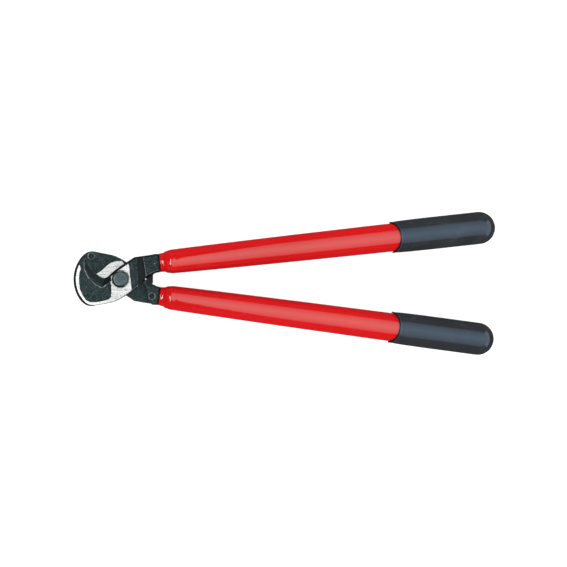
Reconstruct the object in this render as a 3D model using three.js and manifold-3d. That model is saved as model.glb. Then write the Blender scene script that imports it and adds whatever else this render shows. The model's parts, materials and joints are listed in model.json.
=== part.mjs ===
// Two-handed cable cutter, 500 mm long: two forged shear blades on one pivot bolt, each carried by
// a steel tube under an insulating sleeve, with a grip slipped over its end.
//
// Millimetres. The tool lies flat with its jaws shut. The pivot is the Z axis, +X runs towards
// the grips, +Y towards the upper handle, and Z = 0 is the surface that the tool lies on.
//
// A lever (blade and handle) is drawn once in the frame of the upper one: W is the height over
// the tool's mid-plane. The lower lever is the same forging turned half round about X.

import * as THREE from "three";
import { mergeVertices } from "three/addons/utils/BufferGeometryUtils.js";
import Module from "manifold-3d";

const wasm = await Module();
wasm.setup();

// ---- driving dimensions ----

const GAP = 0.3; // running gap between neighbouring pieces
const GRIP_RADIUS = 19.2; // the widest round part, so the mid-plane is this high
const MID_PLANE = GRIP_RADIUS;

const HANDLE_ANGLE = THREE.MathUtils.degToRad(6.93); // each handle to the X axis, jaws shut
const HANDLE_OFFSET = 14.3; // where the handle's axis passes the pivot
const HANDLE_END = 447.3; // round end of the grip, along the handle's axis

const BLADE_THICKNESS = 8.4;
const INNER = GAP / 2; // mating face of a blade over the mid-plane
const OUTER = INNER + BLADE_THICKNESS;

const BORE_RADIUS = 8.3;
const SPOT_FACE = { radius: 10.4, depth: 0.6 };
const BUSH = { outer: 8.0, inner: 6.3 };
const BOLT = { shank: 6.0, head: 9.4, headHeight: 5.4, chamfer: 1.1 };
const FLAT_WASHER = { outer: 10.1, inner: 6.3, thickness: 1.6 };
const DISC_SPRING = { outer: 9.6, inner: 6.3, thickness: 0.9, rise: 0.7 };
const NUT = { acrossFlats: 18.4, height: 5.5, collar: 1.5 };
const LOCK_RING = { outer: 7.7, inner: 6.3, thickness: 1.6 };

const TANG_HALF_HEIGHT = 10.7;
const SHOULDER = 45.7; // end of the flat tang, along the handle's axis
const NECK = { radius: 8.8, end: 56.4 };
const SPIGOT = { radius: 9.7, end: 102 };
const TUBE = { start: 56.7, end: 429, outer: 12.0, inner: 10.0 };
const TANG_PINS = { outer: 2.5, inner: 1.5, slot: 0.9, length: 23.2, at: [72, 90] };
const PLUG = { flange: 2.5, stem: 14 };

const SLEEVE = { mouth: 46.0, end: 428, underGrip: 16.5, wallGap: GAP, cutBack: 1.4 };
const GRIP = { mouth: 322.5, cutBack: 10.7, lip: 1.6, floor: 433.5 };

// Outline of a blade, in the frame of the upper lever.
const JAW_BACK = { x: -14, y: -0.6, radius: 42 };
const JAW_TIP_ANGLE = THREE.MathUtils.degToRad(137.3);
const HEEL_ANGLE = THREE.MathUtils.degToRad(213.2);
const TANG_CORNER = [16.8, 25.9];
const GROUND_DISC = 21.6; // ground ring round the pivot on the mating face
const RELIEF = 0.8; // depth of the panels beside the ground faces
const EDGE_LAND = 0.5; // thickness left at the cutting edge
const BEVEL_WIDTH = 8.5;
const EDGE_CHAMFER = { width: 2.8, depth: 2.0 };

const ROUND = 36; // segments of the large round pieces
const SMALL_ROUND = 20;

// ---- materials ----

const finish = (color, roughness, metalness) =>
  new THREE.MeshStandardMaterial({ color, roughness, metalness });

const blackenedSteel = finish(0x2c3a3c, 0.55, 0.8);
const boltSteel = finish(0x5a6970, 0.4, 0.9);
const zincSteel = finish(0xb9bdc2, 0.35, 1.0);
const redInsulation = finish(0xd91418, 0.25, 0.0);
const darkGrip = finish(0x323434, 0.45, 0.0);
const whiteNylon = finish(0xe6e4dc, 0.5, 0.0);
const greyPlastic = finish(0x6a6c70, 0.6, 0.0);

// ---- solids and meshes ----

function solid(geometry) {
  const bare = geometry.index ? geometry.toNonIndexed() : geometry.clone();
  bare.deleteAttribute("normal");
  bare.deleteAttribute("uv");
  const merged = mergeVertices(bare, 1e-4);
  const triVerts = new Uint32Array(merged.index.array);
  const vertProperties = merged.attributes.position.array;
  const made = new wasm.Manifold(new wasm.Mesh({ numProp: 3, vertProperties, triVerts }));
  if (made.volume() > 0) return made;
  triVerts.reverse(); // a profile drawn the other way round: turn its faces out
  return new wasm.Manifold(new wasm.Mesh({ numProp: 3, vertProperties, triVerts }));
}

function meshOf(name, made, material) {
  const { vertProperties, triVerts } = made.getMesh();
  const geometry = new THREE.BufferGeometry();
  geometry.setAttribute("position", new THREE.BufferAttribute(vertProperties, 3));
  geometry.setIndex(new THREE.BufferAttribute(triVerts, 1));
  geometry.computeVertexNormals();
  const mesh = new THREE.Mesh(geometry, material);
  mesh.name = name;
  return mesh;
}

// A flat shape between two heights.
function slab(shape, low, high) {
  const depth = high - low;
  const geometry = new THREE.ExtrudeGeometry(shape, { depth, bevelEnabled: false, curveSegments: 10 });
  return solid(geometry.translate(0, 0, low));
}

const polygon = (points) => new THREE.Shape(points.map(([x, y]) => new THREE.Vector2(x, y)));

function disc(radius, low, high, segments = SMALL_ROUND) {
  const geometry = new THREE.CylinderGeometry(radius, radius, high - low, segments);
  return solid(geometry.rotateX(Math.PI / 2).translate(0, 0, (low + high) / 2));
}

// A closed profile of [radius, height] turned about Z.
function turned(profile, segments = SMALL_ROUND) {
  const points = [...profile, profile[0]].map(([r, z]) => new THREE.Vector2(r, z));
  return new THREE.LatheGeometry(points, segments).rotateX(Math.PI / 2);
}

// The same turned about a handle's axis: the profile is [distance along the axis, radius].
function turnedOnHandle(profile, segments = ROUND) {
  const upright = turned(profile.map(([along, radius]) => [radius, along]), segments);
  return solid(onHandle(upright.rotateY(Math.PI / 2)));
}

function onHandle(geometry) {
  return geometry.rotateZ(HANDLE_ANGLE).translate(0, HANDLE_OFFSET, 0);
}

// A point given along and across the handle's axis, as [x, y] of the lever.
function handlePoint(along, across) {
  const [c, s] = [Math.cos(HANDLE_ANGLE), Math.sin(HANDLE_ANGLE)];
  return [along * c - across * s, HANDLE_OFFSET + along * s + across * c];
}

// A wedge that takes the corner off an edge at height `face`. The route keeps the material on
// its left. `side` is +1 on an upper face, -1 on a lower one.
function edgeCut(route, width, depth, face, side, over = 0.3) {
  const curve = new THREE.CatmullRomCurve3(
    route.map(([x, y]) => new THREE.Vector3(x, y, face)),
    false,
    "centripetal",
  );
  // ExtrudeGeometry lays a profile's x along -Z and its y to the left of a flat route.
  const wedge = polygon([
    [-side * over * depth, (1 + over) * width],
    [side * (1 + over) * depth, -over * width],
    [-side * over * depth, -over * width],
  ]);
  const steps = Math.max(6, route.length);
  return solid(new THREE.ExtrudeGeometry(wedge, { steps, extrudePath: curve, bevelEnabled: false }));
}

// ---- blade ----

const shoulderLow = handlePoint(SHOULDER, -TANG_HALF_HEIGHT);
const shoulderHigh = handlePoint(SHOULDER, TANG_HALF_HEIGHT);
const topEdgeAt = (x) => {
  const [x0, y0] = TANG_CORNER;
  return y0 + ((x - x0) * (shoulderHigh[1] - y0)) / (shoulderHigh[0] - x0);
};

// Jaw, hub and tang in the blade's own layer, counter-clockwise from the jaw's tip.
function plateShape() {
  const shape = new THREE.Shape();
  shape.absarc(JAW_BACK.x, JAW_BACK.y, JAW_BACK.radius, JAW_TIP_ANGLE, HEEL_ANGLE, false);
  shape.quadraticCurveTo(-42.1, -34.3, -31.5, -32.3); // heel
  shape.lineTo(-14, -29);
  shape.quadraticCurveTo(-2.5, -26.8, 9, -17.2); // round the hub
  shape.lineTo(25.6, -3.6);
  shape.lineTo(29.1, 1.2); // nick over the other blade's stop
  shape.lineTo(37.2, 5.7);
  shape.lineTo(41.9, 7.9);
  shape.lineTo(...shoulderLow);
  shape.lineTo(...shoulderHigh);
  shape.lineTo(TANG_CORNER[0] + 2, topEdgeAt(TANG_CORNER[0] + 2));
  shape.quadraticCurveTo(...TANG_CORNER, TANG_CORNER[0] - 2, TANG_CORNER[1] - 1.4);
  shape.lineTo(0.5, 15.4);
  shape.lineTo(-13.8, 4.6);
  shape.quadraticCurveTo(-16.6, 1.1, -20, 1.2); // root of the throat
  shape.quadraticCurveTo(-31.8, 2.6, -43.7, 26.2); // cutting edge
  return shape;
}

// The lug and tang where they fill the other blade's layer: the lug's upper side is the stop.
function lugShape() {
  return polygon([
    [26.9, 3.5],
    [30.3, 0.5],
    [31.0, -1.2],
    [37.3, -5.0],
    [37.3, 5.6],
    [39.1, 7.2],
    shoulderLow,
    shoulderHigh,
    [37.5, topEdgeAt(37.5)],
    [33.6, 25.6],
    [33.6, 15.5],
    [31.4, 11],
  ]);
}

// Band along the cutting edge that is ground flush with the disc round the pivot.
function groundBandShape() {
  return polygon([
    [-6, 14],
    [-14, 10],
    [-30, 20],
    [-44, 34],
    [-58, 24],
    [-54, 16],
    [-45, 9],
    [-40, 2.5],
    [-35.5, -2.9],
    [-29.3, -6],
    [-22.2, -9.7],
    [-18.8, -12.9],
    [-10, -10],
  ]);
}

// Sunk panel of the jaw's outer face, inside the ground rim.
function panelShape() {
  const shape = new THREE.Shape();
  shape.moveTo(-46.6, 12.6);
  shape.splineThru([[-49.1, 1], [-48, -12.6], [-43, -22.8]].map((p) => new THREE.Vector2(...p)));
  shape.quadraticCurveTo(-39.5, -28.2, -32, -28.1);
  shape.lineTo(-17, -25.6);
  shape.quadraticCurveTo(-10.5, -24.4, -10.5, -18);
  shape.lineTo(-11.4, 1);
  shape.lineTo(-20, -4);
  shape.lineTo(-30, -2);
  shape.lineTo(-38, 6);
  return shape;
}

function plateFeatures() {
  const throat = new THREE.Path([new THREE.Vector2(-9, 8.1), new THREE.Vector2(-13.8, 4.6)]);
  throat.quadraticCurveTo(-16.6, 1.1, -20, 1.2);
  throat.quadraticCurveTo(-31.8, 2.6, -43.7, 26.2);
  throat.lineTo(-47, 32.5);
  const cuttingEdge = throat.getPoints(5).map((p) => [p.x, p.y]);

  const back = new THREE.Path();
  back.absarc(JAW_BACK.x, JAW_BACK.y, JAW_BACK.radius, JAW_TIP_ANGLE - 0.1, HEEL_ANGLE, false);
  back.quadraticCurveTo(-42.1, -34.3, -31.5, -32.3);
  back.lineTo(-14, -29);
  back.quadraticCurveTo(-2.5, -26.8, 9, -17.2);
  back.lineTo(27, -2.5);
  const backEdge = back.getPoints(6).map((p) => [p.x, p.y]);

  const { width, depth } = EDGE_CHAMFER;
  const tangTop = [[47, topEdgeAt(47)], [30, topEdgeAt(30)], [19, topEdgeAt(19)]];
  const hubTop = [[16.5, 25.4], [0.5, 15.4], [-10, 7.6], [-15, 3.8]];
  const tangFoot = [[29, 1.1], [37.2, 5.7], [41.9, 7.9], [47, 9.6]];
  return [
    edgeCut(cuttingEdge, BEVEL_WIDTH, OUTER - INNER - EDGE_LAND, OUTER, 1, 0.2),
    edgeCut(backEdge, width, depth, OUTER, 1),
    edgeCut(tangTop, width, depth, OUTER, 1),
    edgeCut(hubTop, width, depth, OUTER, 1),
    edgeCut(tangFoot, width, depth, OUTER, 1),
    edgeCut(tangTop, width, depth, -OUTER, -1),
    slab(panelShape(), OUTER - RELIEF, OUTER + 1),
    slab(polygon([[10, 30], [13.4, -14], [32, -14], [30, 6.6], [27, 30]]), OUTER - RELIEF, OUTER + 1),
    slab(polygon([[18.5, 24], [20.5, -4], [28.2, 2], [26, 25]]), OUTER - 1.6 * RELIEF, OUTER + 1),
    disc(SPOT_FACE.radius, OUTER - SPOT_FACE.depth, OUTER + 1, 32),
    disc(BORE_RADIUS, -OUTER - 1, OUTER + 1, 32),
    ringMark(-36.2, -27.0, INNER + RELIEF, 1),
    ringMark(38.4, 19.8, -OUTER, 1),
  ];
}

// Shallow round die mark, cut up into a face that looks down.
function ringMark(x, y, face, side) {
  const depth = 0.4 * side;
  const ring = [[2.5, face - depth], [3.9, face - depth], [3.9, face + depth], [2.5, face + depth]];
  return solid(turned(ring, 20).translate(x, y, 0));
}

function bladeSolid() {
  const everywhere = polygon([[-70, -50], [60, -50], [60, 50], [-70, 50]]);
  const relief = slab(everywhere, INNER - 1, INNER + RELIEF)
    .subtract(disc(GROUND_DISC, -10, 10, ROUND))
    .subtract(slab(groundBandShape(), -10, 10));
  const plate = slab(plateShape(), INNER, OUTER).subtract(relief);

  const lug = slab(lugShape(), -OUTER, -INNER);
  const bridge = slab(lugShape(), -INNER - 1, INNER + RELIEF + 1).intersect(
    slab(plateShape(), -INNER - 1, INNER + RELIEF + 1),
  );
  const shank = turnedOnHandle([
    [SHOULDER - 6, 0],
    [SHOULDER - 6, NECK.radius - 0.6],
    [SHOULDER + 0.1, NECK.radius],
    [NECK.end, NECK.radius],
    [NECK.end, SPIGOT.radius],
    [SPIGOT.end - 2, SPIGOT.radius],
    [SPIGOT.end, SPIGOT.radius - 2],
    [SPIGOT.end, 0],
  ]);
  let blade = plate.add(lug).add(bridge).add(shank);
  for (const cut of plateFeatures()) blade = blade.subtract(cut);
  for (const along of TANG_PINS.at) blade = blade.subtract(pinHole(along));
  return blade;
}

// ---- handle ----

function pinHole(along) {
  const radius = TANG_PINS.outer + GAP;
  const hole = new THREE.CylinderGeometry(radius, radius, 40, 16);
  return solid(onHandle(hole.rotateX(Math.PI / 2).translate(along, 0, 0)));
}

// Slotted spring pin through tube and spigot, lying along W.
function tangPin(along) {
  const { outer, inner, slot, length } = TANG_PINS;
  const half = slot / 2;
  const section = new THREE.Shape();
  section.absarc(0, 0, outer, Math.asin(half / outer), -Math.asin(half / outer), false);
  section.absarc(0, 0, inner, -Math.asin(half / inner), Math.asin(half / inner), true);
  const pin = new THREE.ExtrudeGeometry(section, {
    depth: length,
    bevelEnabled: false,
    curveSegments: 16,
  });
  return solid(onHandle(pin.translate(along, 0, -length / 2)));
}

function tube() {
  const { start, end, outer, inner } = TUBE;
  const body = turnedOnHandle([[start, inner], [end, inner], [end, outer], [start, outer]]);
  return TANG_PINS.at.reduce((made, along) => made.subtract(pinHole(along)), body);
}

function tubePlug() {
  const stem = TUBE.inner - GAP;
  return turnedOnHandle(
    [
      [TUBE.end - PLUG.stem, 0],
      [TUBE.end - PLUG.stem, stem - 1],
      [TUBE.end - PLUG.stem + 1, stem],
      [TUBE.end + GAP, stem],
      [TUBE.end + GAP, TUBE.outer],
      [TUBE.end + PLUG.flange, TUBE.outer - 1],
      [TUBE.end + PLUG.flange, 0],
    ],
    SMALL_ROUND,
  );
}

// Cuts a fish mouth into a round piece: straight back by `depth` along its top and bottom, and
// not at all at its sides, with the corner at the sides rounded.
function fishMouth(mouth, depth, radius) {
  const reach = 1.3 * radius;
  const soft = 0.12;
  const backAt = (height) => Math.hypot(height / radius, soft) - soft;
  const count = 8;
  const edge = [];
  for (let i = -count; i <= count; i++) {
    const height = (reach * i) / count;
    edge.push([mouth + (depth * backAt(height)) / backAt(radius), height]);
  }
  const outline = polygon([[mouth - 20, reach], [mouth - 20, -reach], ...edge]);
  const cutter = new THREE.ExtrudeGeometry(outline, { depth: 60, bevelEnabled: false });
  return solid(onHandle(cutter.translate(0, 0, -30).rotateX(Math.PI / 2)));
}

function sleeve() {
  const { mouth, end, underGrip, wallGap } = SLEEVE;
  const neckBore = NECK.radius + wallGap;
  const tubeBore = TUBE.outer + wallGap;
  const body = turnedOnHandle([
    [mouth, neckBore],
    [TUBE.start - wallGap, neckBore],
    [TUBE.start - wallGap, tubeBore],
    [end, tubeBore],
    [end, underGrip - 1],
    [end - 2, underGrip],
    [GRIP.mouth + 18, underGrip],
    [GRIP.mouth - 1, 16.75],
    [190, 15.8],
    [70, 14.4],
    [60, 14.3],
    [57.6, 14.0],
    [54, 12.9],
    [50.2, 11.25],
    [mouth + 1, 11.05],
    [mouth, 10.6],
  ]);
  return body.subtract(fishMouth(mouth, SLEEVE.cutBack, 11));
}

function grip() {
  const { mouth, floor, lip } = GRIP;
  const bore = SLEEVE.underGrip + GAP;
  const endCentre = HANDLE_END - GRIP_RADIUS;
  const dome = [];
  const steps = 7;
  for (let i = 0; i <= steps; i++) {
    const turn = (Math.PI / 2) * (i / steps);
    dome.push([
      endCentre + GRIP_RADIUS * Math.sin(turn),
      i === steps ? 0 : GRIP_RADIUS * Math.cos(turn),
    ]);
  }
  const body = turnedOnHandle([
    [floor, 0],
    [floor, bore - 2.5],
    [floor - 3, bore],
    [mouth + 16, bore],
    [mouth, bore + 0.35],
    [mouth, bore + lip],
    [mouth + 14, GRIP_RADIUS - 0.3],
    [mouth + 40, GRIP_RADIUS],
    ...dome,
  ]);
  return body.subtract(fishMouth(mouth, GRIP.cutBack, GRIP_RADIUS));
}

// ---- pivot ----

// Heights over the surface that the tool lies on, from the bolt's end at 0 upwards.
const headSeat = MID_PLANE + OUTER - SPOT_FACE.depth + GAP;
const washerTop = MID_PLANE - OUTER + SPOT_FACE.depth - GAP;
const springTop = washerTop - FLAT_WASHER.thickness - GAP;
const nutTop = springTop - DISC_SPRING.thickness - DISC_SPRING.rise - GAP;
const nutBottom = nutTop - NUT.height;

function pivotBolt() {
  const top = headSeat + BOLT.headHeight;
  const { shank, head, chamfer } = BOLT;
  return solid(
    turned(
      [
        [0, 0],
        [shank - 0.9, 0],
        [shank, 0.9],
        [shank, headSeat],
        [head, headSeat],
        [head, top - chamfer],
        [head - chamfer, top],
        [0, top],
      ],
      32,
    ),
  );
}

function pivotBush() {
  const low = washerTop + GAP;
  const high = headSeat - GAP;
  const { outer, inner } = BUSH;
  return solid(turned([[inner, low], [outer, low], [outer, high], [inner, high]]));
}

function flatWasher() {
  const { outer, inner, thickness } = FLAT_WASHER;
  const low = washerTop - thickness;
  return solid(turned([[inner, low], [outer, low], [outer, washerTop], [inner, washerTop]]));
}

function discSpring() {
  const { outer, inner, thickness, rise } = DISC_SPRING;
  const low = springTop - thickness - rise;
  return solid(
    turned([
      [inner, low],
      [outer, low + rise],
      [outer, low + rise + thickness],
      [inner, low + thickness],
    ]),
  );
}

function pivotNut() {
  const { acrossFlats, collar } = NUT;
  const cornerRadius = acrossFlats / Math.sqrt(3);
  const collarTop = nutBottom + collar;
  const bore = BOLT.shank + GAP;
  const hexagon = solid(
    new THREE.CylinderGeometry(cornerRadius, cornerRadius, nutTop - collarTop, 6)
      .rotateX(Math.PI / 2)
      .translate(0, 0, (nutTop + collarTop) / 2),
  );
  const rounding = solid(
    turned(
      [
        [0, nutBottom],
        [acrossFlats / 2 - 0.7, nutBottom],
        [acrossFlats / 2 - 0.2, collarTop],
        [cornerRadius, collarTop + 1],
        [cornerRadius, nutTop - 0.7],
        [acrossFlats / 2, nutTop],
        [0, nutTop],
      ],
      36,
    ),
  );
  const ringSeat = disc(LOCK_RING.outer + GAP, nutBottom - 1, nutBottom + LOCK_RING.thickness + 0.6);
  return hexagon
    .add(disc(acrossFlats / 2 - 0.2, nutBottom, collarTop + 0.1, 36))
    .intersect(rounding)
    .subtract(disc(bore, nutBottom - 1, nutTop + 1))
    .subtract(ringSeat);
}

function nutLockRing() {
  const { outer, inner, thickness } = LOCK_RING;
  const low = nutBottom + GAP;
  return solid(
    turned([[inner, low], [outer, low], [outer, low + thickness], [inner, low + thickness]]),
  );
}

// ---- assembly ----

function lever(side, blade) {
  const group = new THREE.Group();
  group.add(meshOf(`${blade}_blade`, bladeSolid(), blackenedSteel));
  group.add(meshOf(`${side}_handle_tube`, tube(), zincSteel));
  TANG_PINS.at.forEach((along, i) => {
    group.add(meshOf(`${side}_tang_pin_${i + 1}`, tangPin(along), boltSteel));
  });
  group.add(meshOf(`${side}_tube_plug`, tubePlug(), greyPlastic));
  group.add(meshOf(`${side}_insulation_sleeve`, sleeve(), redInsulation));
  group.add(meshOf(`${side}_grip`, grip(), darkGrip));
  group.position.z = MID_PLANE;
  return group;
}

const cableCutter = new THREE.Group();
cableCutter.name = "cable_cutter";

const upperLever = lever("upper", "front");
const lowerLever = lever("lower", "rear");
lowerLever.rotation.x = Math.PI;
cableCutter.add(upperLever, lowerLever);

cableCutter.add(meshOf("pivot_bolt", pivotBolt(), boltSteel));
cableCutter.add(meshOf("pivot_bush", pivotBush(), zincSteel));
cableCutter.add(meshOf("flat_washer", flatWasher(), boltSteel));
cableCutter.add(meshOf("disc_spring", discSpring(), boltSteel));
cableCutter.add(meshOf("pivot_nut", pivotNut(), boltSteel));
cableCutter.add(meshOf("nut_lock_ring", nutLockRing(), whiteNylon));

export default cableCutter;
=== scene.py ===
"""Looks of the cable cutter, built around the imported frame. Shapes are drawn in millimetres in the
frame of one lever, with heights from the mid-plane, and turned half round for the other one."""

import json
import math

import bpy
import numpy as np
from mathutils import Matrix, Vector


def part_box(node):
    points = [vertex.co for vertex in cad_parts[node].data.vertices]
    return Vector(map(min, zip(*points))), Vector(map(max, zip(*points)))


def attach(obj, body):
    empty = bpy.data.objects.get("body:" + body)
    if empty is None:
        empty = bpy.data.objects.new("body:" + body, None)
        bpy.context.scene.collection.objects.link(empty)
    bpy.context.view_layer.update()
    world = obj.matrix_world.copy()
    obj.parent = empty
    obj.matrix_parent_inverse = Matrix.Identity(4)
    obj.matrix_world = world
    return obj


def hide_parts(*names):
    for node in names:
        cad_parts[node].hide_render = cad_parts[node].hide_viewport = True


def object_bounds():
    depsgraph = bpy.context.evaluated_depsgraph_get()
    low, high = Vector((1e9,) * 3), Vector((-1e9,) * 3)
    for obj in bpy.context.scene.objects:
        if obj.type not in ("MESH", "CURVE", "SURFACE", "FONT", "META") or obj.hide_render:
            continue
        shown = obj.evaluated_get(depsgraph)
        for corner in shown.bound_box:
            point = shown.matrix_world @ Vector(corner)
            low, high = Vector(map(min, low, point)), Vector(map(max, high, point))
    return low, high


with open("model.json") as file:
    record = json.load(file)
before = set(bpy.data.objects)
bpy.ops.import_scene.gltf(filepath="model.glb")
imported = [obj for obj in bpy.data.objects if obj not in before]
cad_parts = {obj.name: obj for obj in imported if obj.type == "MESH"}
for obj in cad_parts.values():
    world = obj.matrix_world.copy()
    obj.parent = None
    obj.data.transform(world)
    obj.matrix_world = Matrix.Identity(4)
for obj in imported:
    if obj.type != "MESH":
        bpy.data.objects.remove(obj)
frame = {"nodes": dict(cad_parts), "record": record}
cad_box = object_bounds()

# ---- sizes taken from the frame, in millimetres ----

MM = 0.001
grip_low, grip_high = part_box("upper_grip")
bolt_low, bolt_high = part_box("pivot_bolt")
nut_low, nut_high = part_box("pivot_nut")
washer_low, washer_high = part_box("flat_washer")
spring_low, spring_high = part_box("disc_spring")
MID_PLANE = (grip_low[2] + grip_high[2]) / 2 / MM
GRIP_RADIUS = (grip_high[2] - grip_low[2]) / 2 / MM

# ---- sizes drawn here, in millimetres ----

INNER, OUTER = 0.15, 8.55  # a blade's lap face and outer face
RELIEF = 0.8  # depth of the panel, of the lap side's relief and of the step behind the hub
PANEL_TOP = OUTER - RELIEF
EDGE_TOP = INNER + 0.55
HANDLE_ANGLE = math.radians(6.93)
HANDLE_OFFSET = 14.3
HANDLE_END = 447.3
GRIP_MOUTH = 322.5
SPIGOT_RADIUS = 9.7
PIN_STATIONS = (72, 90)
PIN_HOLE_RADIUS = 2.8
BUSH_HOLE_RADIUS = 8.3
SPOT_FACE_RADIUS = 10.4
GROUND_DISC_RADIUS = 21.6
HOOK_RING, LUG_RING = (-36.2, -27.0), (37.6, 19.8)
TANG_DIMPLE = (40.6, 18.8)
NUT_HALF_WIDTH = 9.15
BOLT_THREAD_PITCH = 0.7

LEVER = Matrix.Translation((0, 0, MID_PLANE * MM)) @ Matrix.Scale(MM, 4)
UPPER = LEVER
LOWER = LEVER @ Matrix.Rotation(math.pi, 4, "X")
PIVOT = Matrix.Scale(MM, 4)
ALONG_HANDLE = (
    Matrix.Translation((0, HANDLE_OFFSET, 0))
    @ Matrix.Rotation(HANDLE_ANGLE, 4, "Z")
    @ Matrix.Rotation(math.pi / 2, 4, "Y")
)


# ---- meshes ----


def make_piece(name, shape, matrix, material, body, node):
    """A smooth mesh piece, placed by `matrix`, that stands for a CAD node. Its shape is vertices,
    faces, and marks: a number at each vertex that the material reads by name."""
    verts, faces, marks = shape
    mesh = bpy.data.meshes.new(name)
    mesh.vertices.add(len(verts))
    mesh.vertices.foreach_set("co", np.asarray(verts, np.float32).ravel())
    loops = np.asarray(faces, np.int32)
    mesh.loops.add(loops.size)
    mesh.polygons.add(len(loops))
    mesh.loops.foreach_set("vertex_index", loops.ravel())
    mesh.polygons.foreach_set("loop_start", np.arange(0, loops.size, loops.shape[1]))
    mesh.update(calc_edges=True)
    mesh.validate()
    mesh.transform(matrix)
    mesh.shade_smooth()
    for key, values in marks.items():
        layer = mesh.attributes.new(key, "FLOAT", "POINT")
        layer.data.foreach_set("value", np.asarray(values, np.float32))
    mesh.materials.append(material)
    piece = bpy.data.objects.new(name, mesh)
    bpy.context.collection.objects.link(piece)
    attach(piece, body)
    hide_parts(node)
    return piece


def lathe(profile, segments, shift=None):
    """A closed profile of (radius, height) turned about Z: vertices, triangles, and each vertex's
    height before `shift`, which gives a point's move along the axis. Radius 0 is one point."""
    profile = np.asarray(profile, float)
    on_axis = profile[:, 0] < 1e-9
    angles = np.arange(segments) * 2 * math.pi / segments
    verts, rings = [], []
    for (radius, height), centre in zip(profile, on_axis):
        start = len(verts)
        if centre:
            verts.append((0, 0, height))
            rings.append([start] * segments)
            continue
        for angle in angles:
            lift = shift(angle, height) if shift else 0
            verts.append((radius * math.cos(angle), radius * math.sin(angle), height + lift))
        rings.append(list(range(start, start + segments)))
    faces = []
    ends_on_axis = on_axis[0] and on_axis[-1]
    for low, high in zip(rings, rings[1:] if ends_on_axis else rings[1:] + rings[:1]):
        for i in range(segments):
            j = (i + 1) % segments
            halves = (low[i], low[j], high[j]), (low[i], high[j], high[i])
            faces += [half for half in halves if len(set(half)) == 3]
    heights = [height for (_, height), ring in zip(profile, rings) for _ in set(ring)]
    return np.array(verts), np.array(faces), np.array(heights)


def smooth_profile(points, spacing):
    """Resamples an open profile along a centripetal curve through its points."""
    points = [np.array(p, float) for p in points]
    ext = [2 * points[0] - points[1], *points, 2 * points[-1] - points[-2]]
    out = []
    for p0, p1, p2, p3 in zip(ext, ext[1:], ext[2:], ext[3:]):
        t1 = np.linalg.norm(p1 - p0) ** 0.5
        t2 = t1 + np.linalg.norm(p2 - p1) ** 0.5
        t3 = t2 + np.linalg.norm(p3 - p2) ** 0.5
        count = max(1, int(np.linalg.norm(p2 - p1) / spacing))
        for t in np.linspace(t1, t2, count, endpoint=False):
            a1 = p0 * (t1 - t) / t1 + p1 * t / t1
            a2 = p1 * (t2 - t) / (t2 - t1) + p2 * (t - t1) / (t2 - t1)
            a3 = p2 * (t3 - t) / (t3 - t2) + p3 * (t - t2) / (t3 - t2)
            b1 = a1 * (t2 - t) / t2 + a2 * t / t2
            b2 = a2 * (t3 - t) / (t3 - t1) + a3 * (t - t1) / (t3 - t1)
            out.append(b1 * (t2 - t) / (t2 - t1) + b2 * (t - t1) / (t2 - t1))
    return [tuple(p) for p in (*out, points[-1])]


# ---- distance fields ----


def quad_curve(start, control, end, count=14):
    """Points along a quadratic curve, without its start."""
    t = np.linspace(0, 1, count)[1:, None]
    a, b, c = (np.array(p, float) for p in (start, control, end))
    return [tuple(p) for p in (1 - t) ** 2 * a + 2 * (1 - t) * t * b + t**2 * c]


def arc_points(x, y, radius, start, end, count=40):
    turn = np.radians(np.linspace(start, end, count))
    return [(x + radius * math.cos(a), y + radius * math.sin(a)) for a in turn]


def line_distance(points, x, y):
    """Distance to an open line of points."""
    nearest = np.full(x.shape, 1e9)
    for (ax, ay), (bx, by) in zip(points, points[1:]):
        ex, ey = bx - ax, by - ay
        t = np.clip(((x - ax) * ex + (y - ay) * ey) / (ex * ex + ey * ey + 1e-12), 0, 1)
        nearest = np.minimum(nearest, (x - ax - t * ex) ** 2 + (y - ay - t * ey) ** 2)
    return np.sqrt(nearest)


def area_distance(points, x, y):
    """Signed distance to a closed outline, negative inside."""
    loop = [*points, points[0]]
    inside = np.zeros(x.shape, bool)
    for (ax, ay), (bx, by) in zip(loop, loop[1:]):
        if ay != by:
            inside ^= ((ay > y) != (by > y)) & (x < (bx - ax) * (y - ay) / (by - ay) + ax)
    return np.where(inside, -1.0, 1.0) * line_distance(loop, x, y)


def both(a, b, radius):
    """Where both fields are solid, with the edge between them rounded."""
    over = np.hypot(np.maximum(a + radius, 0), np.maximum(b + radius, 0))
    return np.minimum(np.maximum(a, b), -radius) + over


def either(a, b, radius):
    """Where either field is solid, with a fillet between them."""
    return -both(-a, -b, radius)


def ramp(value, low, high):
    """0 up to `low` and 1 from `high` on, with a smooth rise between."""
    t = np.clip((value - low) / (high - low), 0, 1)
    return t * t * (3 - 2 * t)


def near(value, reach):
    """1 where the value is 0, falling to 0 at `reach` on either side."""
    return np.clip(1 - abs(value) / reach, 0, 1)


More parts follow.
